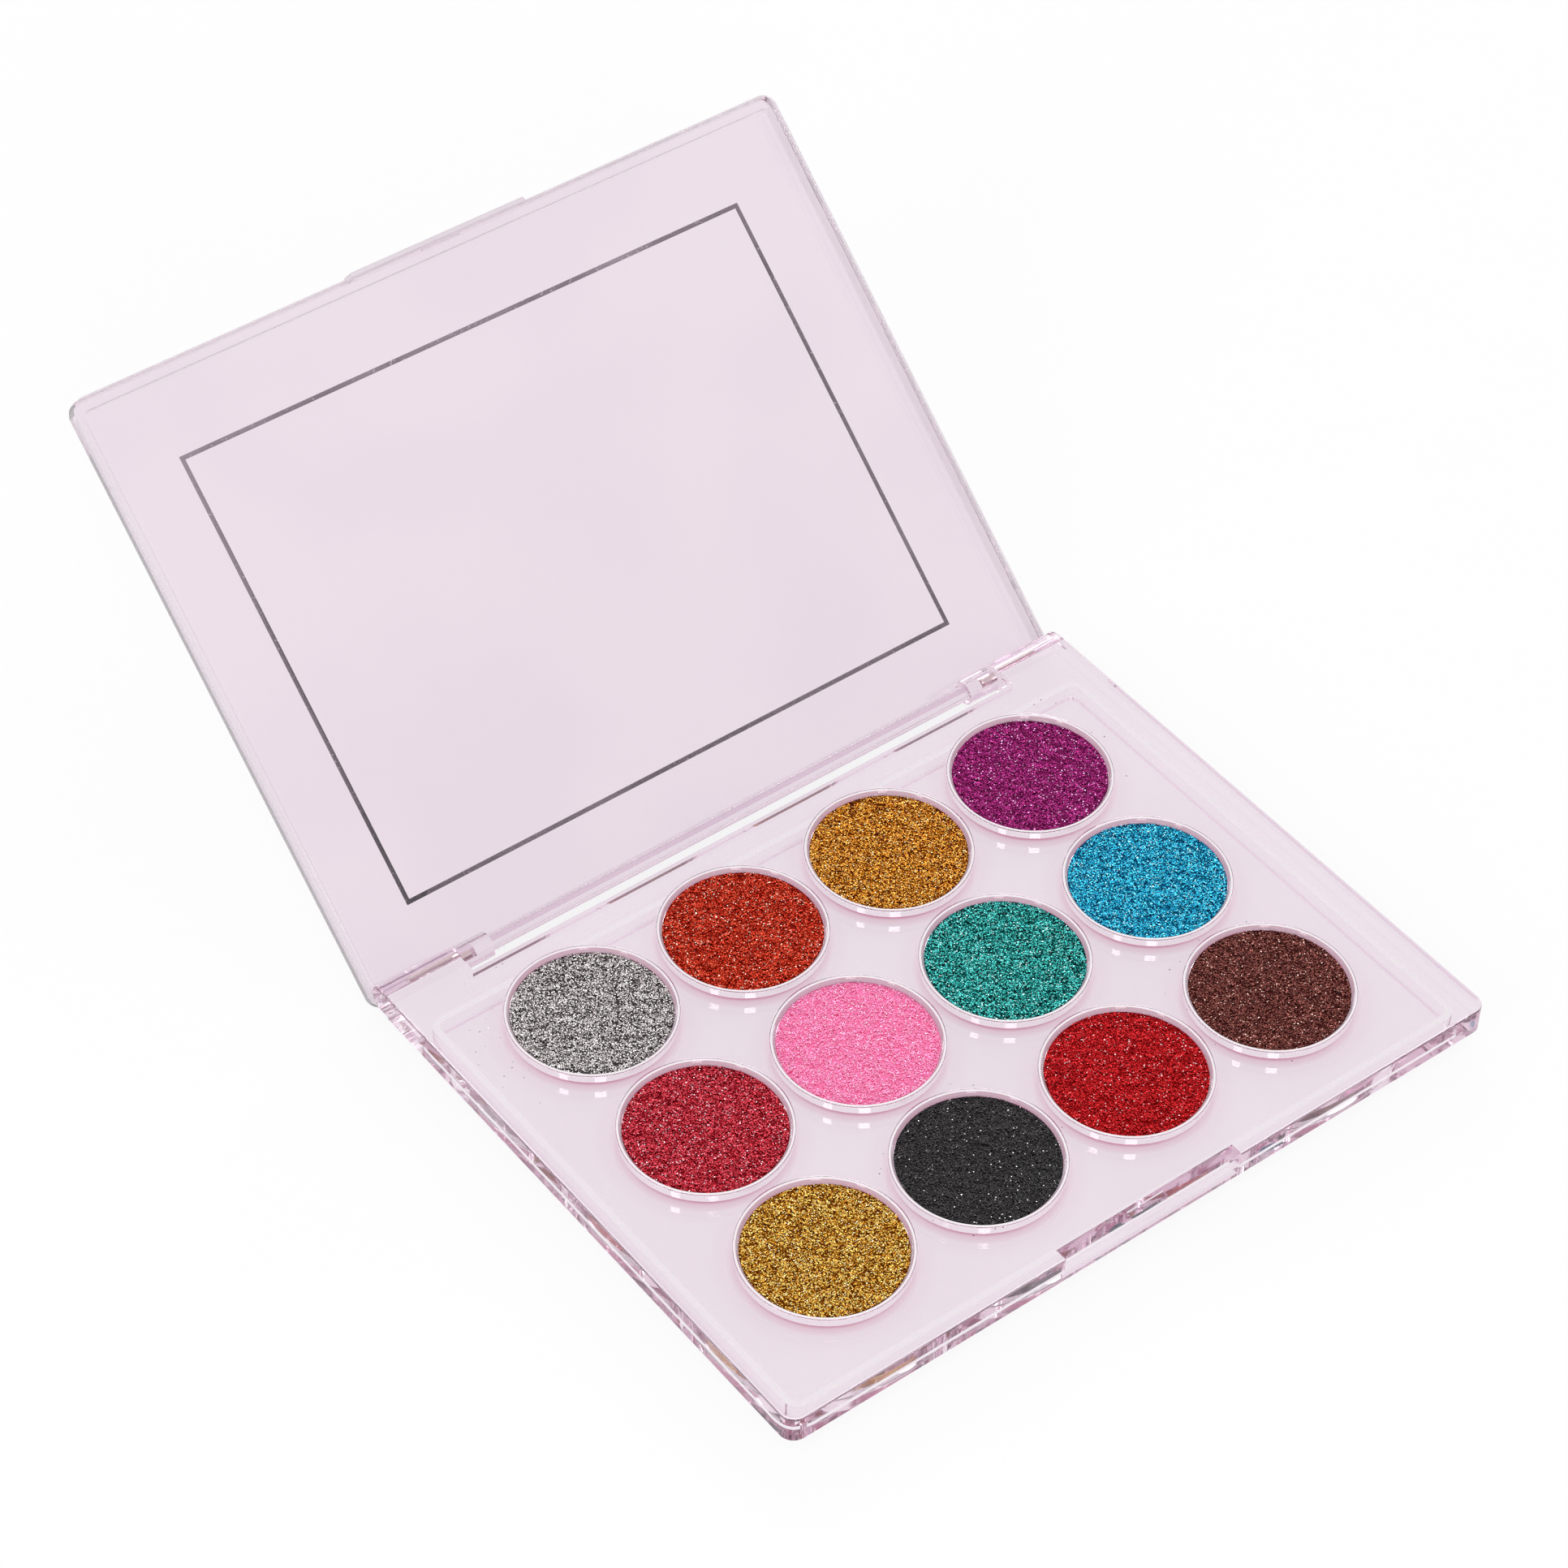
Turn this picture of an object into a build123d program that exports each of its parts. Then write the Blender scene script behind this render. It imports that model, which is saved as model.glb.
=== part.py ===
from build123d import *
import os

# Glitter eyeshadow palette: a clear tinted tray with twelve pans, and a clear lid on two steel pins.
# X runs along the hinge, +Y towards the hinge, +Z up. The origin is the middle of the tray's
# footprint, on the table. The lid is drawn shut and then swung open about the hinge line.

# Tray: a solid clear slab on a foot rim, which keeps the open lid clear of the table
TRAY_W = 134.6
TRAY_D = 104.0
TRAY_H = 4.8
FOOT_H = 3.0
FOOT_W = 1.2
FOOT_INSET = 3.0
FRONT = -TRAY_D / 2
CORNER_R = 2.5
EDGE_R = 0.4
TRAY_BOTTOM = FOOT_H
TRAY_TOP = TRAY_BOTTOM + TRAY_H

# Wells: a grid of four by three in the slab, a little off its middle to leave room for the hinge
COLUMNS = 4
ROWS = 3
PITCH = 28.8
GRID_X = -0.5
GRID_Y = -0.6
WELL_R = 13.4
WELL_DEPTH = 2.75
WELL_LIP = 0.25

# Pans and glitter: each pan's rim is level with the slab, and its wall thins from the filling up
PAN_R = 13.35
PAN_WALL = 0.78
RIM_WALL = 0.3
PAN_FLOOR = 0.5
PAN_BOTTOM = TRAY_TOP - WELL_DEPTH
PAN_TOP = TRAY_TOP + 0.1
FILL_GAP = 0.03
FILL_BOTTOM = PAN_BOTTOM + PAN_FLOOR
FILL_TOP = PAN_TOP - 0.6

# Hinge: an ear at each rear corner of the tray, a knuckle at each end of the lid's beam
HINGE_Y = 50.7
HINGE_Z = TRAY_TOP - 2.5
EAR_R = 2.3
EAR_X = 53.5
EAR_FRONT = 42.5
EAR_SHOULDER = HINGE_Y - 1.0
CUT_FRONT = 45.7
PIN_R = 0.75
PIN_INNER = 50.7
PIN_OUTER = 62.0
PIN_CHAMFER = 0.15
EAR_BORE_R = PIN_R + 0.02
KNUCKLE_BORE_R = PIN_R + 0.07
KNUCKLE_R = 2.1
KNUCKLE_W = 5.7
KNUCKLE_X = EAR_X - 0.5
BEAM_FRONT = HINGE_Y - 1.2
BEAM_BOTTOM = HINGE_Z - 1.2
BEAM_ROUND = 0.5

# Thumb notch in the front of the tray: a low sill, a slot behind it, and the catch over the slot
NOTCH_W = 34.0
NOTCH_D = 2.2
SILL_T = 1.2
NOTCH_R = 1.0
NOTCH_REAR = FRONT + NOTCH_D
SILL_TOP = TRAY_TOP - 2.6
CATCH_W = 7.0
CATCH_OUT = 1.1
CATCH_T = 0.8
CATCH_TOP = TRAY_TOP - 1.0

# Lid: a shallow cover with the same outline as the tray
LID_H = 3.55
LID_GAP = 0.15
LID_PLATE = 1.3
LID_WALL = 1.3
LID_FRONT_WALL = 2.2
LID_ROUND = 1.0
LID_RIM = TRAY_TOP + LID_GAP
LID_TOP = LID_RIM + LID_H
LID_OVERLAP = 0.5
TONGUE_W = NOTCH_W - 0.8
TONGUE_T = 1.2
TONGUE_FRONT = FRONT - 0.35
TONGUE_BOTTOM = SILL_TOP + 0.15
TONGUE_R = 0.35
RIDGE_OUT = 0.15
RIDGE_H = 0.6
OPEN_ANGLE = 140.0

# Foil frame stamped on the lid's outer face
FOIL_W = 107.9
FOIL_D = 77.6
FOIL_LINE = 0.75
FOIL_T = 0.06
FOIL_Y = FRONT + 14.2 + FOIL_D / 2

SHADES = [
    ["gold", "black", "red", "brown"],
    ["crimson", "pink", "teal", "blue"],
    ["silver", "orange", "amber", "magenta"],
]

HINGE = Axis((0, HINGE_Y, HINGE_Z), (1, 0, 0))
SIDES = (-1, 1)
ABOVE_ALL = 30.0
os.makedirs("parts", exist_ok=True)


def across_hinge(x):
    """Plane across the hinge at x: its own x is world Y, its own y is world Z."""
    return Plane(origin=(x, 0, 0), x_dir=(0, 1, 0), z_dir=(1, 0, 0))


def block(x, y, z, mode=Mode.ADD):
    """Box between two places along each axis."""
    spans = [sorted(pair) for pair in (x, y, z)]
    with Locations(tuple(sum(span) / 2 for span in spans)):
        Box(*[high - low for low, high in spans], mode=mode)


def rod(x0, x1, radius, mode=Mode.ADD):
    """Round bar on the hinge line between two places along it."""
    with BuildSketch(across_hinge(x0)) as section:
        with Locations((HINGE_Y, HINGE_Z)):
            Circle(radius)
    extrude(section.sketch, amount=x1 - x0, mode=mode)


def well_centres():
    """Middle of each well, row by row from the front, left to right."""
    xs = [(column - (COLUMNS - 1) / 2) * PITCH + GRID_X for column in range(COLUMNS)]
    ys = [(row - (ROWS - 1) / 2) * PITCH + GRID_Y for row in range(ROWS)]
    return [[(x, y) for x in xs] for y in ys]


centres = well_centres()
flat_centres = [centre for row in centres for centre in row]

# Ears: corner blocks, each drawn as the hull of the slab's height and the hinge barrel
ears = []
for side in SIDES:
    with BuildPart() as ear:
        with BuildSketch(across_hinge(side * EAR_X)):
            with Locations(((EAR_FRONT + EAR_SHOULDER) / 2, TRAY_TOP - TRAY_H / 2)):
                Rectangle(EAR_SHOULDER - EAR_FRONT, TRAY_H)
            with Locations((HINGE_Y, HINGE_Z)):
                Circle(EAR_R)
            make_hull()
        extrude(amount=side * (TRAY_W / 2 - EAR_X))
        outer_end = ear.faces().sort_by(Axis.X)[-1 if side > 0 else 0]
        fillet(outer_end.edges().sort_by(Axis.Y)[1:], EDGE_R)
    ears.append(ear.part)

# Tray slab, cut away between the ears, with its foot rim
with BuildPart() as tray:
    with BuildSketch(Plane.XY.offset(TRAY_BOTTOM)):
        RectangleRounded(TRAY_W, TRAY_D, CORNER_R)
    extrude(amount=TRAY_H)
    fillet(tray.faces().sort_by(Axis.Z)[-1].edges(), EDGE_R)
    block((-EAR_X, EAR_X), (CUT_FRONT, TRAY_D), (0, ABOVE_ALL), Mode.SUBTRACT)
    block((-TRAY_W, TRAY_W), (EAR_SHOULDER - 1, TRAY_D), (0, ABOVE_ALL), Mode.SUBTRACT)
    add(ears)
    foot_w = TRAY_W - 2 * FOOT_INSET
    foot_y = (FRONT + FOOT_INSET, CUT_FRONT - FOOT_INSET)
    foot_d = foot_y[1] - foot_y[0]
    with BuildSketch(Plane.XY):
        with Locations((0, sum(foot_y) / 2)):
            RectangleRounded(foot_w, foot_d, CORNER_R)
            RectangleRounded(foot_w - 2 * FOOT_W, foot_d - 2 * FOOT_W, CORNER_R - FOOT_W, mode=Mode.SUBTRACT)
    extrude(amount=FOOT_H)

    # Wells, with lips that turn down into them
    with BuildSketch(Plane.XY.offset(TRAY_TOP - WELL_DEPTH)):
        with Locations(flat_centres):
            Circle(WELL_R)
    extrude(amount=ABOVE_ALL, mode=Mode.SUBTRACT)
    mouths = tray.edges().filter_by(GeomType.CIRCLE).filter_by(lambda edge: edge.radius == WELL_R)
    fillet(mouths.group_by(Axis.Z)[-1], WELL_LIP)

    # Thumb notch and its catch
    with BuildSketch(Plane.XY.offset(SILL_TOP)):
        with Locations((0, FRONT)):
            RectangleRounded(NOTCH_W, 2 * NOTCH_D, NOTCH_R)
    extrude(amount=TRAY_H, mode=Mode.SUBTRACT)
    block((-NOTCH_W / 2, NOTCH_W / 2), (FRONT + SILL_T, NOTCH_REAR), (0, TRAY_TOP), Mode.SUBTRACT)
    catch_z = (CATCH_TOP - CATCH_T, CATCH_TOP)
    block((-CATCH_W / 2, CATCH_W / 2), (NOTCH_REAR - CATCH_OUT, NOTCH_REAR + CATCH_T), catch_z)

    # Pin bores, right through the ears
    for side in SIDES:
        rod(side * (EAR_X - 1), side * TRAY_W, EAR_BORE_R, Mode.SUBTRACT)

# Pan: a thin dish, one for each well, whose mouth opens a little towards its rim
with BuildPart() as pan:
    with BuildSketch(Plane.XY.offset(PAN_BOTTOM)):
        Circle(PAN_R)
    extrude(amount=PAN_TOP - PAN_BOTTOM)
    with BuildSketch(Plane.XY.offset(PAN_BOTTOM + PAN_FLOOR)):
        Circle(PAN_R - PAN_WALL)
    extrude(amount=PAN_TOP, mode=Mode.SUBTRACT)
    with Locations((0, 0, (FILL_TOP + PAN_TOP) / 2)):
        Cone(PAN_R - PAN_WALL, PAN_R - RIM_WALL, PAN_TOP - FILL_TOP, mode=Mode.SUBTRACT)

# Glitter: the loose filling, as one solid cake
with BuildPart() as fill:
    with BuildSketch(Plane.XY.offset(FILL_BOTTOM)):
        Circle(PAN_R - PAN_WALL - FILL_GAP)
    extrude(amount=FILL_TOP - FILL_BOTTOM)

# Hinge pins, pushed in through the ears
with BuildPart() as hinge_pin_left:
    rod(-PIN_OUTER, -PIN_INNER, PIN_R)
    chamfer(hinge_pin_left.edges().filter_by(GeomType.CIRCLE), PIN_CHAMFER)
with BuildPart() as hinge_pin_right:
    rod(PIN_INNER, PIN_OUTER, PIN_R)
    chamfer(hinge_pin_right.edges().filter_by(GeomType.CIRCLE), PIN_CHAMFER)

# Lid, drawn shut: a hollow cover
with BuildPart() as lid:
    with BuildSketch(Plane.XY.offset(LID_RIM)):
        RectangleRounded(TRAY_W, TRAY_D, CORNER_R)
    extrude(amount=LID_H)
    fillet(lid.faces().sort_by(Axis.Z)[-1].edges(), LID_ROUND)
    inside = (FRONT + LID_FRONT_WALL, -FRONT - LID_WALL)
    with BuildSketch(Plane.XY.offset(LID_RIM)):
        with Locations((0, sum(inside) / 2)):
            RectangleRounded(TRAY_W - 2 * LID_WALL, inside[1] - inside[0], CORNER_R - LID_WALL)
    extrude(amount=LID_H - LID_PLATE, mode=Mode.SUBTRACT)

    # Beam below the rear wall, which fits between the ears and ends in two knuckles
    beam_y = (BEAM_FRONT, -FRONT)
    beam_z = (BEAM_BOTTOM, LID_RIM + LID_OVERLAP)
    with BuildSketch(across_hinge(-KNUCKLE_X)):
        with Locations((sum(beam_y) / 2, sum(beam_z) / 2)):
            RectangleRounded(beam_y[1] - beam_y[0], beam_z[1] - beam_z[0], BEAM_ROUND)
    extrude(amount=2 * KNUCKLE_X)
    for side in SIDES:
        knuckle_x = (side * (KNUCKLE_X - KNUCKLE_W), side * KNUCKLE_X)
        with BuildSketch(across_hinge(knuckle_x[0])):
            with Locations((HINGE_Y, HINGE_Z)):
                Circle(KNUCKLE_R)
            with Locations((sum(beam_y) / 2, (HINGE_Z + beam_z[1]) / 2)):
                Rectangle(beam_y[1] - beam_y[0], beam_z[1] - HINGE_Z)
        extrude(amount=knuckle_x[1] - knuckle_x[0])
        rod(side * (PIN_INNER - 0.5), side * TRAY_W, KNUCKLE_BORE_R, Mode.SUBTRACT)

    # Tongue that drops in front of the tray's notch, with the ridge that passes the catch
    tongue_y = (TONGUE_FRONT, TONGUE_FRONT + TONGUE_T)
    with BuildSketch(Plane.XY.offset(TONGUE_BOTTOM)):
        with Locations((0, sum(tongue_y) / 2)):
            RectangleRounded(TONGUE_W, TONGUE_T, TONGUE_R)
    extrude(amount=LID_RIM + LID_OVERLAP - TONGUE_BOTTOM)
    ridge_y = (tongue_y[1] - TONGUE_T / 2, tongue_y[1] + RIDGE_OUT)
    block((-CATCH_W / 2, CATCH_W / 2), ridge_y, (TONGUE_BOTTOM, TONGUE_BOTTOM + RIDGE_H))

# Foil frame on the lid
with BuildPart() as foil_frame:
    with BuildSketch(Plane.XY.offset(LID_TOP)):
        with Locations((0, FOIL_Y)):
            Rectangle(FOIL_W, FOIL_D)
            Rectangle(FOIL_W - 2 * FOIL_LINE, FOIL_D - 2 * FOIL_LINE, mode=Mode.SUBTRACT)
    extrude(amount=FOIL_T)


def write(shape, name):
    """Label a finished piece and write its STEP."""
    shape.label = name
    export_step(shape, "parts/" + name + ".step")


write(tray.part, "tray")
write(hinge_pin_left.part, "hinge_pin_left")
write(hinge_pin_right.part, "hinge_pin_right")
write(lid.part.rotate(HINGE, -OPEN_ANGLE), "lid")
write(foil_frame.part.rotate(HINGE, -OPEN_ANGLE), "foil_frame")
for shade_row, centre_row in zip(SHADES, centres):
    for shade, (x, y) in zip(shade_row, centre_row):
        write(pan.part.moved(Location((x, y, 0))), "pan_" + shade)
        write(fill.part.moved(Location((x, y, 0))), "glitter_" + shade)
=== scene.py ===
# %% [markdown]
# # An open glitter palette in clear tinted plastic
# The real thing is a thick slab of clear, faintly pink polystyrene, with twelve small dishes of
# loose glitter in shallow wells and a clear lid on two steel pins. The tray, the lid, the pins
# and the foil frame already come from the CAD model, exact and ready to move, so this lesson
# gives those pieces their finish and builds only what CAD can't show: dishes with softened rims,
# and glitter made of thousands of separate flakes.

# %% Load the frame
import math

import bpy
import numpy as np
from mathutils import Matrix, Vector


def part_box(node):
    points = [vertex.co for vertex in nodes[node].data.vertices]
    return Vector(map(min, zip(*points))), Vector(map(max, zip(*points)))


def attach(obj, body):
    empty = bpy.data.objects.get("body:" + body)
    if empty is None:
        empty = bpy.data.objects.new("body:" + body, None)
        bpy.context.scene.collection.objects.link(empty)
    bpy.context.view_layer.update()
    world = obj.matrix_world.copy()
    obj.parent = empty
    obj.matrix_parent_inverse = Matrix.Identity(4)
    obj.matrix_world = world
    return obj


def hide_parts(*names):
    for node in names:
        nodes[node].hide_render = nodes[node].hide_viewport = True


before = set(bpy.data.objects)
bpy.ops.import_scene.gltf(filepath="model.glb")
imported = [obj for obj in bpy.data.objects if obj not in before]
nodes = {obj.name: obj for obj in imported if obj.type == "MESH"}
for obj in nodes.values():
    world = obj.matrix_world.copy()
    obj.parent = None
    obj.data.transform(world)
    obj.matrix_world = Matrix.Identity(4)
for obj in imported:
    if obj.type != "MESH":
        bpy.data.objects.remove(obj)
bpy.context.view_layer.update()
MM = 0.001
print("CAD nodes:", len(nodes))

# %% [markdown]
# The camera comes first, because it decides how large one flake of glitter looks. It could be
# aimed with a constraint, but a direction, a distance and a small roll are plainer: they say
# in words where the eye is.


# %% Camera
def look_from(target, distance, azimuth, elevation, roll):
    """Camera that looks at target from a distance. Azimuth turns it about the vertical, from
    looking along +Y; elevation lifts it above the table; roll tips the picture."""
    turn = Matrix.Rotation(math.radians(azimuth), 4, "Z")
    lift = Matrix.Rotation(math.radians(90 - elevation), 4, "X")
    tip = Matrix.Rotation(math.radians(roll), 4, "Z")
    back = Matrix.Translation((0, 0, distance))
    return Matrix.Translation(target) @ turn @ lift @ tip @ back


camera_data = bpy.data.cameras.new("camera")
camera_data.lens = 109.0
camera_data.sensor_width = 36
camera_data.clip_start = 0.01
camera = bpy.data.objects.new("camera", camera_data)
camera.matrix_world = look_from(
    (0.0017, 0.03994, 0.02), distance=0.7384, azimuth=-38.822, elevation=45.024, roll=1.855
)
bpy.context.scene.collection.objects.link(camera)
bpy.context.scene.camera = camera
print("camera at", tuple(round(c, 4) for c in camera.matrix_world.translation))

# %% [markdown]
# Materials are little networks of nodes. Wiring each one by hand is slow to read, so one small
# class wraps a socket: arithmetic on it adds Math nodes, and `make` adds any other node.


# %% Shader maths
class Wire:
    """A value that varies over a surface: one output socket in a material's node tree."""

    def __init__(self, tree, socket=None):
        self.tree = tree
        self.socket = socket

    def make(self, kind, settings=None, inputs=None, output=0):
        """Adds one node of a kind, with its settings first and then its sockets' values or
        links, and gives the wire from one of its outputs."""
        node = self.tree.nodes.new(kind)
        for name, value in (settings or {}).items():
            setattr(node, name, value)
        for key, value in (inputs or {}).items():
            if isinstance(value, Wire):
                self.tree.links.new(value.socket, node.inputs[key])
            else:
                node.inputs[key].default_value = value
        return Wire(self.tree, node.outputs[output])

    def maths(self, operation, *values):
        """Adds a Math node that works on this wire and up to two more values."""
        sockets = {0: self, **{i + 1: v for i, v in enumerate(values)}}
        return self.make("ShaderNodeMath", {"operation": operation}, sockets)

    def __add__(self, other):
        return self.maths("ADD", other)

    def __sub__(self, other):
        return self.maths("SUBTRACT", other)

    def __mul__(self, other):
        return self.maths("MULTIPLY", other)

    def __rsub__(self, other):
        return self.make("ShaderNodeMath", {"operation": "SUBTRACT"}, {0: other, 1: self})

    __radd__ = __add__
    __rmul__ = __mul__

    def axis(self, letter):
        """One coordinate, X, Y or Z, of the point that this wire carries."""
        return self.make("ShaderNodeSeparateXYZ", None, {"Vector": self}, output=letter)

    def rise(self, low, high):
        """0 below low, 1 above high, and a smooth S between them."""
        inputs = {"Value": self, "From Min": low, "From Max": high}
        return self.make("ShaderNodeMapRange", {"interpolation_type": "SMOOTHSTEP"}, inputs)

    def blend(self, first, second):
        """Mixes two colours: the first where this wire is 0, the second where it is 1."""
        return self.make("ShaderNodeMix", {"data_type": "RGBA"}, {0: self, 6: first, 7: second}, 2)

    def drive(self, socket):
        """Leads this wire into a socket."""
        self.tree.links.new(self.socket, socket)


def start_material(name):
    """An empty material, the wire that its nodes are made from, and its output node."""
    material = bpy.data.materials.new(name)
    material.use_nodes = True
    tree = material.node_tree
    tree.nodes.clear()
    return material, Wire(tree), tree.nodes.new("ShaderNodeOutputMaterial")


def linear(level):
    """One channel as seen on screen, 0 to 255, in the linear light that the shaders work in."""
    return ((level / 255 + 0.055) / 1.055) ** 2.4 if level > 10 else level / 255 / 12.92


def colour(red, green, blue):
    """A solid colour from its three channels as seen on screen, 0 to 255."""
    return (linear(red), linear(green), linear(blue), 1.0)


def noise(place, size, detail=2.0):
    """Soft cloudy noise whose lumps are about size metres across."""
    inputs = {"Vector": place, "Scale": 1 / size, "Detail": detail}
    return place.make("ShaderNodeTexNoise", None, inputs)


print("shader maths ready")

# %% [markdown]
# The studio is a white table under an even white sky, with soft lamps. A brighter lamp would also
# make the table white, but it would wash out the plastic. Instead the table and the sky are given
# white light only where an eye, a gloss or a clear wall looks at them, and the table keeps a
# share of its own shading, so that the palette still has a soft shadow.


# %% Table and sky
WHITE = (1, 1, 1, 1)


def seen_rays(wire, straight=1.0, through=1.0):
    """Straight for a ray from the eye or off a gloss, through for one that comes on through a
    clear wall, and 0 for light."""
    eye = wire.make("ShaderNodeLightPath", output="Is Camera Ray")
    gloss = wire.make("ShaderNodeLightPath", output="Is Glossy Ray")
    clear = wire.make("ShaderNodeLightPath", output="Is Transmission Ray")
    return (eye.maths("MAXIMUM", gloss) * straight).maths("MAXIMUM", clear * through)


def white_table(open_share, covered_share):
    """A table that looks white and keeps a share of its shading: a small one in the open, and a
    larger one where it is seen through plastic."""
    material, wire, output = start_material("table_white")
    place = wire.make("ShaderNodeTexCoord", output="Object")
    grain = noise(place, 0.02)
    paint = grain.blend(colour(252, 251, 252), colour(254, 254, 254))
    matt = wire.make("ShaderNodeBsdfDiffuse", None, {"Color": paint})
    glow = wire.make("ShaderNodeEmission", None, {"Color": WHITE, "Strength": 1.0})
    glowing = seen_rays(wire, 1 - open_share, 1 - covered_share)
    both = wire.make("ShaderNodeMixShader", None, {0: glowing, 1: matt, 2: glow})
    both.drive(output.inputs["Surface"])
    return material


def white_sky(light):
    """An even sky that lights the scene at one level and looks white."""
    world = bpy.data.worlds.new("sky")
    world.use_nodes = True
    world.node_tree.nodes.clear()
    wire = Wire(world.node_tree)
    strength = seen_rays(wire) * (1 - light) + light
    back = wire.make("ShaderNodeBackground", None, {"Color": WHITE, "Strength": strength})
    output = world.node_tree.nodes.new("ShaderNodeOutputWorld")
    back.drive(output.inputs["Surface"])
    return world


TABLE_HALF = 2.0
TABLE_Z = -2e-5
table_mesh = bpy.data.meshes.new("table")
quarters = ((-1, -1), (1, -1), (1, 1), (-1, 1))
table_corners = [(TABLE_HALF * x, TABLE_HALF * y, TABLE_Z) for x, y in quarters]
table_mesh.from_pydata(table_corners, [], [(0, 1, 2, 3)])
table_mesh.materials.append(white_table(0.15, 0.6))
table = bpy.data.objects.new("table", table_mesh)
bpy.context.scene.collection.objects.link(table)
bpy.context.scene.world = white_sky(0.75)
bpy.context.scene.view_settings.view_transform = "Standard"
print("table", 2 * TABLE_HALF, "m wide, sky", bpy.context.scene.world.name)

# %% [markdown]
# A studio lights clear plastic with tall strip lamps, which draw long highlights on its walls
# where round lamps would leave dots. Two strips stand on the near side. A square soft lamp
# behind is too low to be mirrored in the tray and the lid, but tilted flakes catch it.


# %% Lamps
def soft_lamp(name, place, aim, width, height, watts):
    """An oblong soft lamp at a place, turned towards an aim point."""
    data = bpy.data.lights.new(name, "AREA")
    data.shape = "RECTANGLE"
    data.size = width
    data.size_y = height
    data.energy = watts
    lamp = bpy.data.objects.new(name, data)
    lamp.location = place
    lamp.rotation_euler = (Vector(aim) - Vector(place)).to_track_quat("-Z", "Y").to_euler()
    bpy.context.scene.collection.objects.link(lamp)
    return lamp


STRIP_AWAY = 1.2
STRIP_MIDDLE = 0.75
STRIP_TALL = 0.9


def strip_lamp(name, azimuth, width, watts):
    """A tall strip lamp that reaches from low over the table to halfway up. Azimuth is counted
    from -Y towards -X, in degrees, and its width is in metres."""
    out = Vector((-math.sin(math.radians(azimuth)), -math.cos(math.radians(azimuth)), 0))
    place = out * STRIP_AWAY + Vector((0, 0, STRIP_MIDDLE))
    return soft_lamp(name, place, (0, 0, 0.1), width, STRIP_TALL, watts)


strip_lamp("strip_front", 28, 0.26, 4.5)
strip_lamp("strip_side", 76, 0.2, 3.2)
soft_lamp("lamp_back", (0.7, 0.9, 0.6), (0, 0.02, 0), 0.5, 0.5, 2.4)

# %% [markdown]
# Light that enters clear plastic is thrown to and fro inside it before it leaves again. Cut
# short, such a path ends in black and every edge turns dark, so the paths may run longer here.

# %% Longer light paths
cycles = bpy.context.scene.cycles
cycles.max_bounces = 64
cycles.glossy_bounces = 48
cycles.transmission_bounces = 48
print("light paths of up to", cycles.max_bounces, "bounces")

# %% [markdown]
# The plastic gets a painted shadow under and around each dish, so a finish must know how far a
# place is from the nearest dish. It could compare its distances to all twelve, but the dishes stand
# in even rows, so the nearest column and the nearest row are simply found by rounding.


# %% Where the dishes stand
dish_boxes = [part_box(name) for name in nodes if name.startswith("pan_")]
dish_columns = sorted({round(float(low.x + high.x) / 2, 6) for low, high in dish_boxes})
dish_rows = sorted({round(float(low.y + high.y) / 2, 6) for low, high in dish_boxes})
well_floor = dish_boxes[0][0].z
rim_top = dish_boxes[0][1].z


def from_nearest(value, middles):
    """How far a coordinate is from the nearest of some evenly spaced middles: the count of steps
    from the first middle, rounded and kept within the row, gives the nearest one."""
    step = middles[1] - middles[0]
    count = ((value - middles[0]) * (1 / step)).maths("ROUND")
    count = count.maths("MAXIMUM", 0).maths("MINIMUM", len(middles) - 1)
    return value - (count * step + middles[0])


def from_dish(place):
    """Distance from the axis of the nearest dish: the root of the sum of the squared distances
    from its column and its row."""
    aside = from_nearest(place.axis("X"), dish_columns)
    along = from_nearest(place.axis("Y"), dish_rows)
    return (aside * aside + along * along).maths("SQRT")


print("dishes in columns", dish_columns, "and rows", dish_rows)

# %% [markdown]
# Clear moulded plastic lets light through, bends it and keeps a little of it. A see-through
# colour alone looks like film. Here the surface bends light as polystyrene does, each crossing
# of a wall takes a little colour, and the depth of plastic takes some more, so edges deepen.


# %% Clear plastic
PAINTED_PALE_WHITE = (0.98, 0.94, 0.97, 1)
POLYSTYRENE_IOR = 1.57
FLOW_SIZE = 30 * MM
POLISH_SIZE = 4 * MM
RIPPLE_SIZE = 12 * MM
RIPPLE_DEPTH = 0.3 * MM


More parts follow.
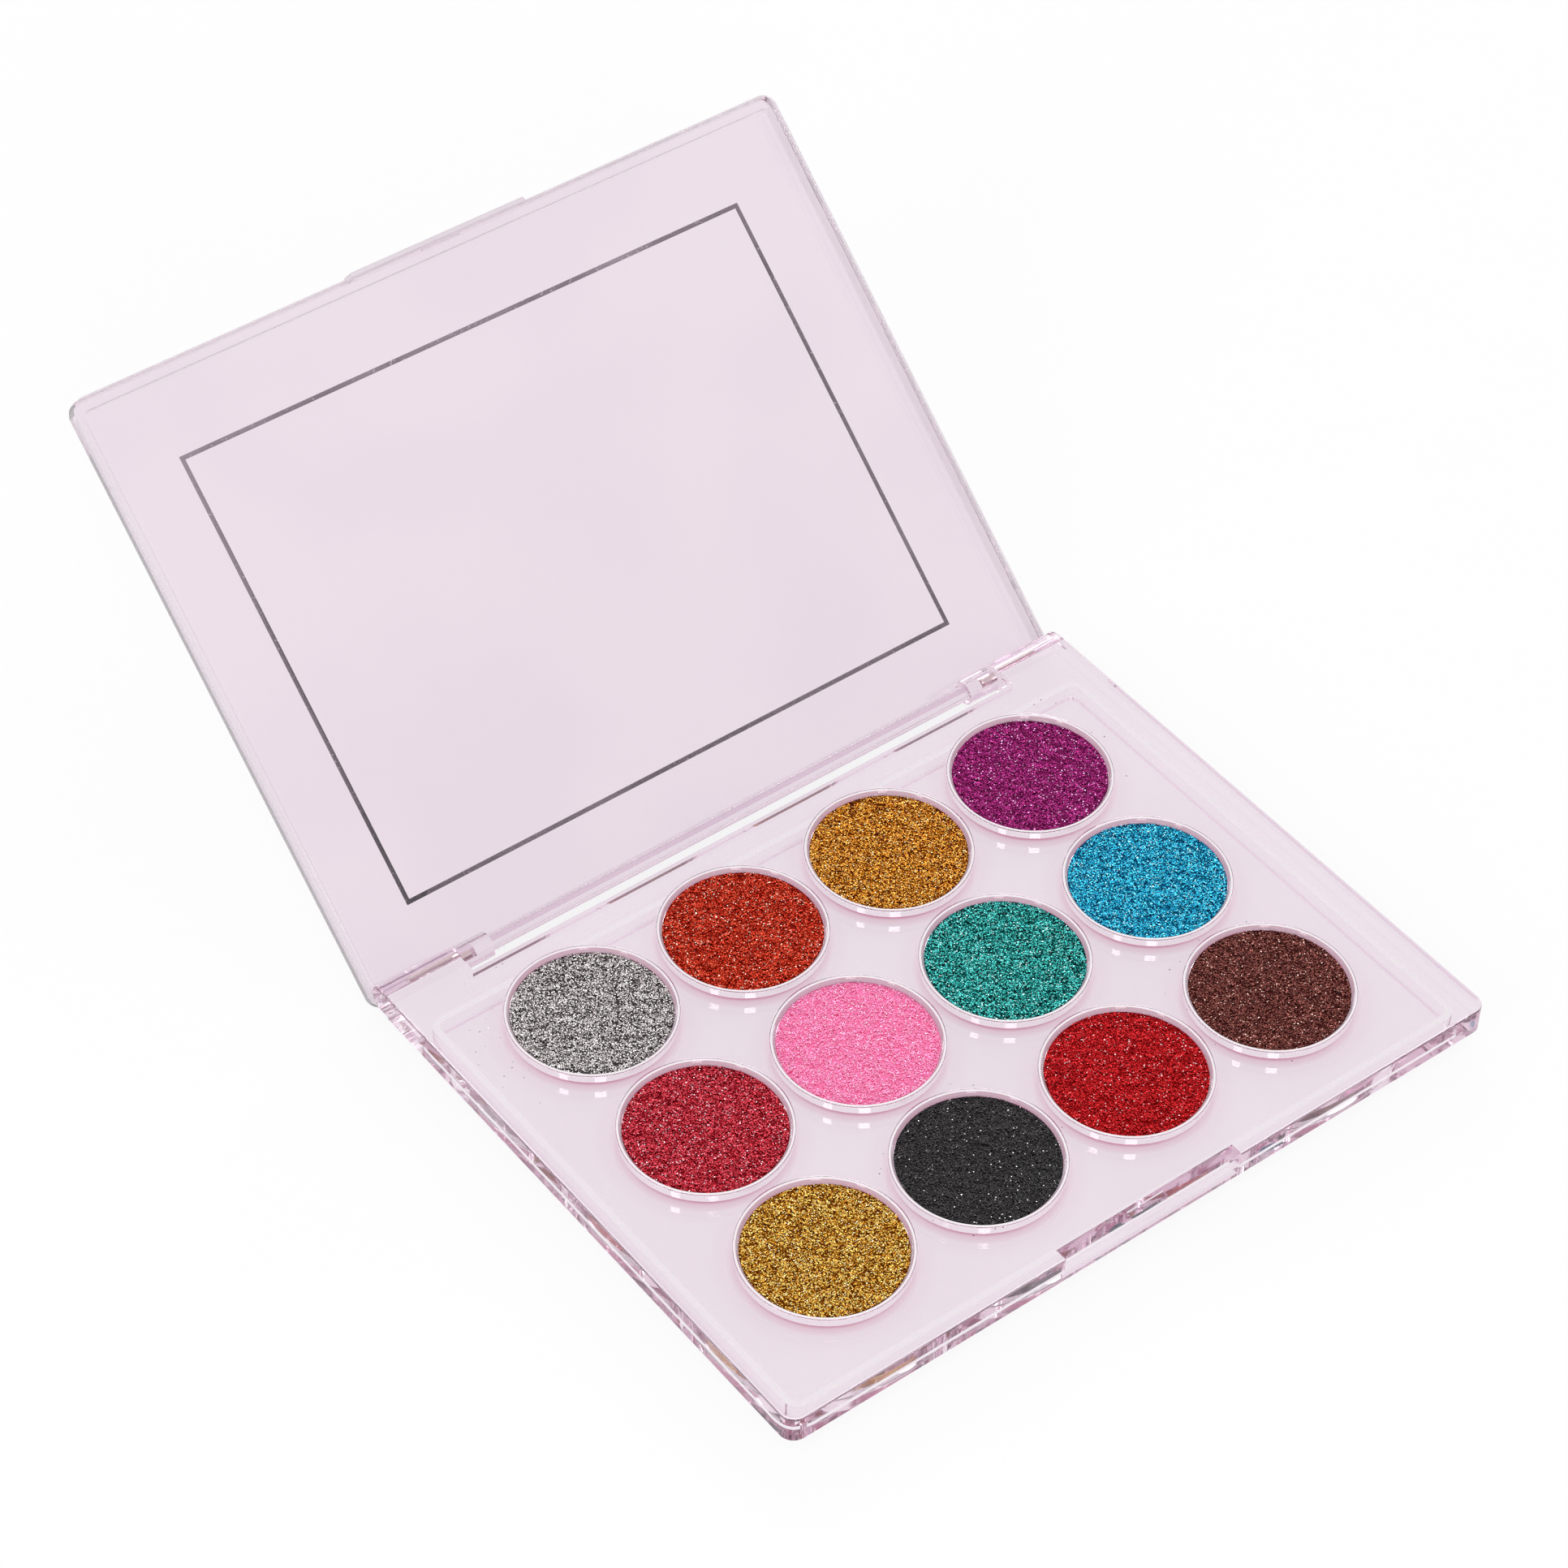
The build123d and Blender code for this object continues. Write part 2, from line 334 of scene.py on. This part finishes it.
def clear_plastic(name, pale, deep, dye, density, haze, shades=(), pale_paint=None):
    """Clear tinted plastic. The surface tint drifts slowly from pale to deep as the mould's
    flow did, haze sets how much the polish varies, and the body takes light out by its dye.
    Each shade changes the tint in places: it is a colour and a rule that turns a place into how
    much of that colour there is. The pale paint is a rule for how white and dull the surface is
    painted where it stands in for light, and the share of its light that it lets through."""
    material, wire, output = start_material(name)
    place = wire.make("ShaderNodeTexCoord", output="Object")
    flow = noise(place, FLOW_SIZE, 1.0)
    tint = flow.rise(0.35, 0.65).blend(pale, deep)
    for colour_there, rule in shades:
        tint = rule(place).blend(tint, colour_there)
    polish = noise(place, POLISH_SIZE, 3.0)
    ripple = noise(place, RIPPLE_SIZE, 0.0)
    relief = {"Strength": 0.02, "Distance": RIPPLE_DEPTH, "Height": ripple}
    bump = wire.make("ShaderNodeBump", None, relief)
    shader = wire.make(
        "ShaderNodeBsdfPrincipled",
        None,
        {
            "Base Color": tint,
            "Roughness": polish * haze,
            "IOR": POLYSTYRENE_IOR,
            "Transmission Weight": 1.0,
            "Normal": bump,
        },
    )
    if pale_paint:
        whiteness, share = pale_paint
        # painted light: a whitish, dull surface wherever the rule asks for it
        outside = wire.make("ShaderNodeBsdfDiffuse", None, {"Color": PAINTED_PALE_WHITE})
        through = wire.make("ShaderNodeBsdfTranslucent", None, {"Color": PAINTED_PALE_WHITE})
        white = wire.make("ShaderNodeMixShader", None, {0: share, 1: outside, 2: through})
        mixed = {0: whiteness(place), 1: shader, 2: white}
        shader = wire.make("ShaderNodeMixShader", None, mixed)
    body = wire.make("ShaderNodeVolumeAbsorption", None, {"Color": dye, "Density": density})
    shader.drive(output.inputs["Surface"])
    body.drive(output.inputs["Volume"])
    return material


def finish_with(piece, material):
    """Gives a piece one material."""
    piece.data.materials.clear()
    piece.data.materials.append(material)


print("clear plastic ready")

# %% [markdown]
# Seen from above, a pink shade lies round each dish, where the dishes' shadow falls below the slab.
# The light alone brings it out only faintly, so the lower face is given a painted shadow: a deeper
# pink tint below and close round each dish. The foot rim under it is thin and stays untinted.

# %% The tray's plastic
PINK_DYE = (0.75, 0.45, 0.62, 1)
SLAB_BELOW_WELLS = 1.0 * MM
FOOT_BELOW_WELLS = 2.1 * MM
SHADOW_CORE_EDGE = (12.3 * MM, 13.3 * MM)
SHADOW_CLOSE_EDGE = (13.1 * MM, 14.6 * MM)
SHADOW_WIDE_EDGE = (14.8 * MM, 17.2 * MM)


def lower_face(place):
    """1 on the slab's lower face and everything below it, and 0 higher up."""
    edge = well_floor - SLAB_BELOW_WELLS
    return 1 - place.axis("Z").rise(edge - 0.2 * MM, edge)


def painted_shadow_under_dishes(place):
    """How deep the painted shadow on the tray's lower face is below each dish."""
    return (1 - from_dish(place).rise(*SHADOW_CORE_EDGE)) * lower_face(place)


def painted_shade_round_dishes(place):
    """The weaker painted shade on the lower face, close round each dish and a little farther out.
    """
    away = from_dish(place)
    close = 1 - away.rise(*SHADOW_CLOSE_EDGE)
    wide = 1 - away.rise(*SHADOW_WIDE_EDGE)
    return (close * 0.27 + wide * 0.06) * lower_face(place)


def foot(place):
    """1 on the foot rim below the slab, which is too thin to look tinted, and 0 elsewhere."""
    edge = well_floor - FOOT_BELOW_WELLS
    return 1 - place.axis("Z").rise(edge - 0.1 * MM, edge)


tray_clear = clear_plastic(
    "tray_clear",
    pale=(0.90, 0.81, 0.88, 1),
    deep=(0.88, 0.79, 0.86, 1),
    dye=PINK_DYE,
    density=10.0,
    haze=0.04,
    shades=[
        # painted shadow: deeper pink tints on the lower face round and under each dish
        ((0.7, 0.01, 0.2, 1), painted_shade_round_dishes),
        ((0.43, 0.01, 0.12, 1), painted_shadow_under_dishes),
        (WHITE, foot),
    ],
)
finish_with(nodes["tray"], tray_clear)
print("tray finished with", tray_clear.name)

# %% [markdown]
# The lid's outer edges are painted whitish and dull, standing in for light along them, and the
# inner face of its front wall gets a painted highlight line. A second material on those faces
# would end in a hard line. The finish works out where the edges are instead: it measures from
# the hinge along the open lid and away from it.

# %% The lid's plastic
pin_low, pin_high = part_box("hinge_pin_right")
hinge = (pin_low + pin_high) / 2
lid_half = (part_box("lid")[1].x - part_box("lid")[0].x) / 2
OPEN = math.radians(140)
ALONG_LID = (0, -math.cos(OPEN), math.sin(OPEN))
OFF_LID = (0, math.sin(OPEN), math.cos(OPEN))
SIDE_EDGE = (lid_half - 0.9 * MM, lid_half - 0.1 * MM)
FRONT_EDGE = (101.8 * MM, 102.6 * MM)
FRONT_WALL_INSIDE = 100.5 * MM
FRONT_WALL_LOW = 2.7 * MM
FRONT_WALL_HIGH = 4.8 * MM


def painted_pale_edges(place):
    """The lid's outer edges are painted pale and the inner face of its front wall gets a painted
    highlight line. With the lid shut, reach is how far a place lies in front of the hinge, and
    lift is how far above it: each is the dot product of the arm from the hinge with one direction
    of the lid."""
    arm = place.make("ShaderNodeVectorMath", {"operation": "SUBTRACT"}, {0: place, 1: tuple(hinge)})
    dot = {"operation": "DOT_PRODUCT"}
    reach = arm.make("ShaderNodeVectorMath", dot, {0: arm, 1: ALONG_LID}, "Value")
    lift = arm.make("ShaderNodeVectorMath", dot, {0: arm, 1: OFF_LID}, "Value")
    side = place.axis("X").maths("ABSOLUTE").rise(*SIDE_EDGE)
    front = reach.rise(*FRONT_EDGE)
    highlight_line = 1 - (reach - FRONT_WALL_INSIDE).maths("ABSOLUTE").rise(0.04 * MM, 0.08 * MM)
    above = lift.rise(FRONT_WALL_LOW, FRONT_WALL_LOW + 0.02 * MM)
    inside = above * (1 - lift.rise(FRONT_WALL_HIGH, FRONT_WALL_HIGH + 0.02 * MM))
    # painted pale edges at 0.55 and the painted highlight line at 0.9
    return (side.maths("MAXIMUM", front) * 0.55).maths("MAXIMUM", highlight_line * inside * 0.9)


lid_clear = clear_plastic(
    "lid_clear",
    pale=(0.855, 0.75, 0.825, 1),
    deep=(0.835, 0.73, 0.81, 1),
    dye=PINK_DYE,
    density=5.0,
    haze=0.03,
    pale_paint=(painted_pale_edges, 0.5),
)
finish_with(nodes["lid"], lid_clear)
print("lid finished with", lid_clear.name)

# %% [markdown]
# Dishes and fillings are round, and a round moulding is the same all about its axis. It could be
# modelled by hand with loop cuts and bevels, but a profile turned about the axis, as a lathe
# would, says it in a few numbers and gives clean faces.


# %% Turned shapes
def lathe(profile, centre, sides):
    """Points, quads and end fans of a profile of (radius, height) turned about the vertical
    through centre: the point i at the angle a is centre + (r_i cos a, r_i sin a), at height z_i.
    The profile's ends lie on the axis."""
    profile = np.array(profile, float)
    angle = np.linspace(0, 2 * np.pi, sides, endpoint=False)
    ring = profile[1:-1]
    x = centre[0] + ring[:, :1] * np.cos(angle)
    y = centre[1] + ring[:, :1] * np.sin(angle)
    z = np.repeat(ring[:, 1:], sides, axis=1)
    points = np.stack([x, y, z], -1).reshape(-1, 3)
    poles = [[centre[0], centre[1], profile[0, 1]], [centre[0], centre[1], profile[-1, 1]]]
    here = np.arange(sides)
    after = (here + 1) % sides
    rows = np.arange(len(ring) - 1)[:, None] * sides
    above = rows + sides
    quads = np.stack([rows + here, rows + after, above + after, above + here], -1).reshape(-1, 4)
    last_row = (len(ring) - 1) * sides
    lower = np.stack([np.full(sides, len(points)), after, here], -1)
    upper = np.stack([last_row + here, last_row + after, np.full(sides, len(points) + 1)], -1)
    return np.vstack([points, poles]), quads, np.vstack([lower, upper])


def add_piece(name, points, faces, material):
    """A mesh object at the origin with one material."""
    mesh = bpy.data.meshes.new(name)
    mesh.from_pydata(points.tolist(), [], faces)
    mesh.materials.append(material)
    piece = bpy.data.objects.new(name, mesh)
    bpy.context.scene.collection.objects.link(piece)
    return piece


def corner(centre, radius, start, end, steps=5):
    """Arc of a profile round centre, between two angles in degrees, as (radius, height)."""
    turn = np.radians(np.linspace(start, end, steps))
    return list(zip(centre[0] + radius * np.cos(turn), centre[1] + radius * np.sin(turn)))


print("lathe ready")

# %% [markdown]
# Each dish is a small round cup of clear plastic whose mouth opens a little towards its rim. A
# cylinder with a hole would have hard edges and catch no light, so the profile is rounded at
# the base and the rim, and leans outwards at the mouth.

# %% Dishes
RIM_WALL = 0.3 * MM
RIM_ROUND = 0.1 * MM
BASE_ROUND = 0.25 * MM
DISH_FLOOR = 0.5 * MM
FLOOR_EDGE = 0.1 * MM
FILL_GAP = 0.03 * MM
LIFT = 0.02 * MM
DISH_SIDES = 160


def dish(shade, material):
    """Dish of one shade: out along its base, up the wall, over the rim, down the leaning mouth
    to the top of the filling, and straight down to the floor. It stands a hair above the well's
    floor, because two clear faces in one place would confuse the light."""
    low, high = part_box("pan_" + shade)
    fill_low, fill_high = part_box("glitter_" + shade)
    base = low.z + LIFT
    outer = (high.x - low.x) / 2
    inner = (fill_high.x - fill_low.x) / 2 + FILL_GAP
    mouth = outer - RIM_WALL
    floor = low.z + DISH_FLOOR
    profile = [(0, base), *corner((outer - BASE_ROUND, base + BASE_ROUND), BASE_ROUND, -90, 0)]
    profile += corner((outer - RIM_ROUND, high.z - RIM_ROUND), RIM_ROUND, 0, 90)
    profile += corner((mouth + RIM_ROUND / 2, high.z - RIM_ROUND), RIM_ROUND, 90, 141)
    profile += [(inner, fill_high.z), (inner, floor), (inner - FLOOR_EDGE, floor), (0, floor)]
    points, quads, fans = lathe(profile, (low + high) / 2, DISH_SIDES)
    piece = add_piece("dish_" + shade, points, quads.tolist() + fans.tolist(), material)
    piece.data.shade_smooth()
    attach(piece, "tray")
    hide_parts("pan_" + shade)
    return piece


print("dish profile ready, rim wall", RIM_WALL, "m")

# %% [markdown]
# Loose glitter is thousands of tiny six-sided flakes punched out of coloured foil. Painted
# speckles on a disc would look flat and never twinkle. Real flakes lie at every tilt and send
# light in every direction, so each one here is its own hexagon with its own tilt and tone.


# %% Glitter flakes
WAVES = 24
FLAKES = 18000
FLAKE_R = 0.1 * MM


def drift(points, size, seed):
    """Slow random change over a plane: a sum of waves about size long in random directions,
    divided by the root of half their number, so that its spread is 1."""
    chance = np.random.default_rng(seed)
    heading = chance.uniform(0, 2 * np.pi, WAVES)
    rate = 2 * np.pi / (size * chance.uniform(0.7, 1.8, WAVES))
    phase = chance.uniform(0, 2 * np.pi, WAVES)
    turn = points[:, :1] * np.cos(heading) * rate + points[:, 1:2] * np.sin(heading) * rate + phase
    return np.sin(turn).sum(1) / math.sqrt(WAVES / 2)


def flake_corners(centres, tilt, heading, spin, size):
    """Corners of many hexagons: a corner at angle a + spin on a circle of the flake's size, laid
    on two axes, one level along the heading and one leaning up by the tilt."""
    angle = spin[:, None] + np.arange(6) * np.pi / 3
    level = np.stack([np.cos(heading), np.sin(heading), 0 * heading], -1)
    flat = np.cos(tilt)
    lean = np.stack([-np.sin(heading) * flat, np.cos(heading) * flat, np.sin(tilt)], -1)
    spread = np.cos(angle)[..., None] * level[:, None] + np.sin(angle)[..., None] * lean[:, None]
    return centres[:, None] + size[:, None, None] * spread


def flake_tones(count, chance, spread, glint_share, clump):
    """Tones of many flakes: 0 is the darkest painted shade and 1 is a white painted glint. They
    scatter at random about the middle by the spread and follow the clumps a little, and a share of
    them are painted glints."""
    tone = np.clip(0.5 + spread * (1.2 * chance.normal(0, 1, count) + 0.2 * clump), 0.05, 0.9)
    painted_glint = chance.uniform(0, 1, count) < glint_share
    tone[painted_glint] = chance.uniform(0.93, 1.0, painted_glint.sum())
    return tone


PATCH_R = 0.004


def lay_tones(mesh, tone, chance):
    """Map in which each face is a tiny round patch, at its tone across and anywhere up."""
    starts = np.zeros(len(mesh.polygons), np.int32)
    totals = np.zeros(len(mesh.polygons), np.int32)
    mesh.polygons.foreach_get("loop_start", starts)
    mesh.polygons.foreach_get("loop_total", totals)
    height = chance.uniform(0.02, 0.98, len(totals))
    place = np.arange(totals.sum()) - np.repeat(starts, totals)
    turn = 2 * np.pi * place / np.repeat(totals, totals)
    across = np.repeat(np.clip(tone, 0.01, 0.99), totals) + PATCH_R * np.cos(turn)
    up = np.repeat(height, totals) + PATCH_R * np.sin(turn)
    layer = mesh.uv_layers.new(name="OFBake")
    layer.data.foreach_set("uv", np.stack([across, up], -1).ravel())


print("glitter of", FLAKES, "flakes ready")

# %% [markdown]
# A filling is a shallow heap of flakes in its dish, uneven in soft clumps. A heap of loose
# hexagons alone would let light through to the dish's floor. So the flakes lie on a closed cake
# with a dark top, painted shade between the flakes, and the cake's side is speckled, because it
# shows through the clear dish.

# %% A filling
AROUND = 180
BED_DEPTH = 0.22 * MM
FLAKE_DEPTH = 0.12 * MM
WALL_GAP = 0.1 * MM
CLUMP_SIZE = 2.2 * MM
CLUMP_HEIGHT = 0.04 * MM
TILT = math.radians(18)
SPECKLE_TONE = 0.45
BED_SHADE_TONE = 0.03


def glitter(shade, material, seed, spread, glint_share):
    """Filling of one dish: a closed cake with a dark top, painted shade between the flakes,
    speckled down its side and below, where it shows through the clear plastic, and flakes strewn
    over the top."""
    low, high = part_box("glitter_" + shade)
    middle = (low + high) / 2
    radius = (high.x - low.x) / 2
    chance = np.random.default_rng(seed)
    out = np.sqrt(chance.uniform(0, 1, FLAKES)) * (radius - WALL_GAP)
    around = chance.uniform(0, 2 * np.pi, FLAKES)
    flat = np.stack([out * np.cos(around), out * np.sin(around)], -1)
    clump = drift(flat, CLUMP_SIZE, seed + 100)
    level = high.z - FLAKE_DEPTH + CLUMP_HEIGHT * clump
    height = level + chance.uniform(-0.09, 0.11, FLAKES) * MM
    tilt = np.abs(chance.normal(0, TILT, FLAKES))
    heading = chance.uniform(0, 2 * np.pi, FLAKES)
    spin = chance.uniform(0, np.pi / 3, FLAKES)
    size = FLAKE_R * chance.uniform(0.75, 1.25, FLAKES)
    centres = np.column_stack([flat + [middle.x, middle.y], height])
    corners = flake_corners(centres, tilt, heading, spin, size).reshape(-1, 3)
    top = high.z - BED_DEPTH
    profile = [(0, low.z + LIFT), *[(r, low.z + LIFT) for r in np.linspace(0.04, 1, 26) * radius]]
    profile += [(radius, z) for z in np.linspace(low.z + LIFT, top, 7)[1:]]
    profile += [(0.5 * radius, top), (0, top)]
    points, quads, fans = lathe(profile, middle, AROUND)
    base = len(corners)
    faces = np.arange(base).reshape(-1, 6).tolist()
    faces += (quads + base).tolist() + (fans + base).tolist()
    piece = add_piece("flakes_" + shade, np.vstack([corners, points]), faces, material)
    shown = len(quads) - AROUND
    speckle = np.maximum(flake_tones(shown, chance, spread, glint_share, 0.0), SPECKLE_TONE)
    # the rest of the cake, mostly its top, is painted shade
    painted_dark = np.full(len(faces) - FLAKES - shown, BED_SHADE_TONE)
    tone = np.concatenate([flake_tones(FLAKES, chance, spread, glint_share, clump), speckle, painted_dark])
    lay_tones(piece.data, tone, chance)
    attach(piece, "tray")
    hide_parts("glitter_" + shade)
    return piece


print("fillings of", FLAKES, "flakes on a cake of", AROUND, "sides")

# %% [markdown]
# Glitter foil is dyed metal. Each flake's tone is picked at random and is partly painted light:
# dark where a flake leans away or lies deep, a painted shade, full of colour between, and nearly
# white in a spark, a painted glint. A material for each tone would need many slots. Instead each
# flake's tone is kept in its map, and one material per shade reads it there.


# %% Glitter foil
def glitter_finish(shade, painted_dark, middle, light, painted_glint, metal, polish):
    """Coloured foil flakes: four tones blended along the map, from painted shade to painted glints.
    """
    material, wire, output = start_material("glitter_foil_" + shade)
    tone = wire.make("ShaderNodeUVMap", {"uv_map": "OFBake"}).axis("X")
    low = tone.rise(0.0, 0.45).blend(colour(*painted_dark), colour(*middle))
    mid = tone.rise(0.45, 0.88).blend(low, colour(*light))
    full = tone.rise(0.9, 0.97).blend(mid, colour(*painted_glint))
    inputs = {"Base Color": full, "Roughness": polish, "Metallic": metal}
    wire.make("ShaderNodeBsdfPrincipled", None, inputs).drive(output.inputs["Surface"])
    return material


print("glitter foil ready")

# %% [markdown]
# The twelve shades differ in tone, in how far the tones scatter and in how many flakes are
# painted as glints. One foil with a changed hue would look dyed, since black glitter is calm and
# gold is lively. So each shade has a row of its own, and one loop makes all the dishes and
# fillings.

# %% Twelve shades
# shade: painted dark, middle and light tones, painted glint, how metallic, tone spread, glint share
SHADES = {
    "gold": ((96, 42, 0), (218, 146, 40), (255, 224, 118), (255, 250, 205), 1.0, 0.3, 0.07),
    "black": ((34, 33, 34), (64, 62, 63), (80, 78, 79), (255, 252, 252), 1.0, 0.11, 0.01),
    "red": ((118, 3, 7), (186, 25, 31), (232, 52, 57), (255, 205, 208), 1.0, 0.2, 0.03),
    "brown": ((56, 18, 16), (110, 60, 56), (158, 92, 84), (255, 216, 204), 1.0, 0.26, 0.035),
    "crimson": ((108, 6, 18), (200, 44, 58), (244, 96, 114), (255, 224, 232), 1.0, 0.22, 0.05),
    "pink": ((244, 112, 166), (255, 146, 200), (255, 168, 212), (255, 238, 250), 0.6, 0.3, 0.06),
    "teal": ((0, 40, 42), (34, 156, 150), (96, 226, 218), (214, 255, 252), 1.0, 0.32, 0.06),
    "blue": ((0, 62, 98), (24, 168, 210), (86, 224, 255), (205, 255, 255), 1.0, 0.31, 0.05),
    "silver": ((54, 48, 48), (184, 177, 176), (244, 238, 236), (255, 255, 255), 1.0, 0.33, 0.09),
    "orange": ((106, 6, 0), (196, 45, 25), (242, 95, 67), (255, 222, 204), 1.0, 0.22, 0.05),
    "amber": ((82, 24, 0), (214, 128, 22), (255, 192, 88), (255, 246, 190), 1.0, 0.31, 0.05),
    "magenta": ((84, 6, 58), (148, 32, 102), (192, 58, 146), (255, 205, 250), 1.0, 0.24, 0.045),
}
FLAKE_POLISH = 0.25
FIRST_SEED = 7
INNER_EDGE = (13.0 * MM, 13.06 * MM)
WALL_LEVEL = (rim_top - 0.8 * MM, rim_top - 0.7 * MM)
RIM_LEVEL = (rim_top - 0.14 * MM, rim_top - 0.05 * MM)


def inner_wall(place):
    """1 on a dish's inner wall and 0 on its rim and outside."""
    return 1 - from_dish(place).rise(*INNER_EDGE)


def painted_bright_rim(place):
    """The rim top is painted whitish, a painted highlight along it, and the inner wall above the
    filling is painted some of that whiteness."""
    height = place.axis("Z")
    wall = inner_wall(place) * height.rise(*WALL_LEVEL)
    return (height.rise(*RIM_LEVEL) * 0.9).maths("MAXIMUM", wall * 0.3)


dish_clear = clear_plastic(
    "dish_clear",
    pale=(0.97, 0.94, 0.96, 1),
    deep=(0.95, 0.92, 0.94, 1),
    dye=(0.75, 0.55, 0.66, 1),
    density=14.0,
    haze=0.03,
    # painted shade: the inner wall is tinted greyer
    shades=[((0.80, 0.77, 0.79, 1), inner_wall)],
    pale_paint=(painted_bright_rim, 0.0),
)
for seed, (shade, (*tones, metal, spread, glint_share)) in enumerate(SHADES.items(), FIRST_SEED):
    dish(shade, dish_clear)
    foil = glitter_finish(shade, *tones, metal, FLAKE_POLISH)
    glitter(shade, foil, seed, spread, glint_share)
print("dishes and fillings:", 2 * len(SHADES))

# %% [markdown]
# Loose glitter never stays in its dish: a few flakes always lie about on the plastic. They could
# be left out, but a spotless tray looks computer-made, so a few are scattered by chance.


# %% Stray flakes
STRAY_LIFT = 0.03 * MM


def stray_flakes(shade, count, seed, near, far, start, end):
    """Flakes of one shade lying flat on the tray, between two distances from the middle of
    their dish and between two angles in degrees, where 0 is +X and 90 is +Y."""
    low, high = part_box("pan_" + shade)
    middle = (low + high) / 2
    chance = np.random.default_rng(seed)
    out = chance.uniform(near, far, count)
    around = np.radians(chance.uniform(start, end, count))
    x = middle.x + out * np.cos(around)
    y = middle.y + out * np.sin(around)
    centres = np.column_stack([x, y, np.full(count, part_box("tray")[1].z + STRAY_LIFT)])
    size = FLAKE_R * chance.uniform(0.7, 1.3, count)
    corners = flake_corners(centres, chance.uniform(0, 0.15, count), around, around, size)
    faces = np.arange(6 * count).reshape(-1, 6).tolist()
    foil = bpy.data.materials["glitter_foil_" + shade]
    piece = add_piece("stray_" + shade, corners.reshape(-1, 3), faces, foil)
    # tones from painted shade to the middle colour and a little lighter, with no painted glints
    lay_tones(piece.data, chance.uniform(0.05, 0.6, count), chance)
    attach(piece, "tray")
    return piece


stray = [stray_flakes("silver", 26, 1, 14.0 * MM, 20.5 * MM, 95, 215)]
stray += [stray_flakes("black", 10, 2, 13.6 * MM, 15.5 * MM, 0, 360)]
stray += [stray_flakes("brown", 9, 3, 13.6 * MM, 17.0 * MM, 40, 250)]
stray += [stray_flakes("magenta", 6, 4, 13.6 * MM, 17.0 * MM, 300, 420)]
print("stray flakes:", sum(len(piece.data.polygons) for piece in stray))

# %% [markdown]
# The two hinge pins are short pieces of drawn steel wire, and the frame on the lid is silver
# foil pressed on hot. Both are CAD solids and only need a finish: fine lines along the wire,
# and a foil that is worn thin and brighter in places.


# %% Steel and foil
def drawn_steel():
    """Steel wire with fine marks along it, a little yellowed."""
    material, wire, output = start_material("drawn_steel")
    place = wire.make("ShaderNodeTexCoord", output="Object")
    along_wire = {0: place, 1: (0.05, 1.0, 1.0)}
    stretched = wire.make("ShaderNodeVectorMath", {"operation": "MULTIPLY"}, along_wire)
    lines = noise(stretched, 0.0002, 2.0)
    tone = lines.blend(colour(232, 227, 212), colour(250, 247, 238))
    inputs = {"Base Color": tone, "Roughness": lines * 0.2 + 0.18, "Metallic": 1.0}
    wire.make("ShaderNodeBsdfPrincipled", None, inputs).drive(output.inputs["Surface"])
    return material


def silver_foil():
    """Hot-stamped foil: bright silver that is worn to a duller tone in small patches."""
    material, wire, output = start_material("silver_foil")
    place = wire.make("ShaderNodeTexCoord", output="Object")
    patches = noise(place, 0.02, 2.0)
    grain = noise(place, 0.0006, 3.0)
    tone = patches.rise(0.4, 0.62).blend(colour(140, 130, 138), colour(168, 160, 166))
    tone = grain.rise(0.62, 0.7).blend(tone, colour(205, 200, 204))
    bump = wire.make("ShaderNodeBump", None, {"Strength": 0.1, "Distance": 0.0001, "Height": grain})
    inputs = {"Base Color": tone, "Roughness": grain * 0.2 + 0.15, "Metallic": 1.0, "Normal": bump}
    wire.make("ShaderNodeBsdfPrincipled", None, inputs).drive(output.inputs["Surface"])
    return material


steel = drawn_steel()
for side in ("left", "right"):
    finish_with(nodes["hinge_pin_" + side], steel)
finish_with(nodes["foil_frame"], silver_foil())
print("pins and foil frame finished")
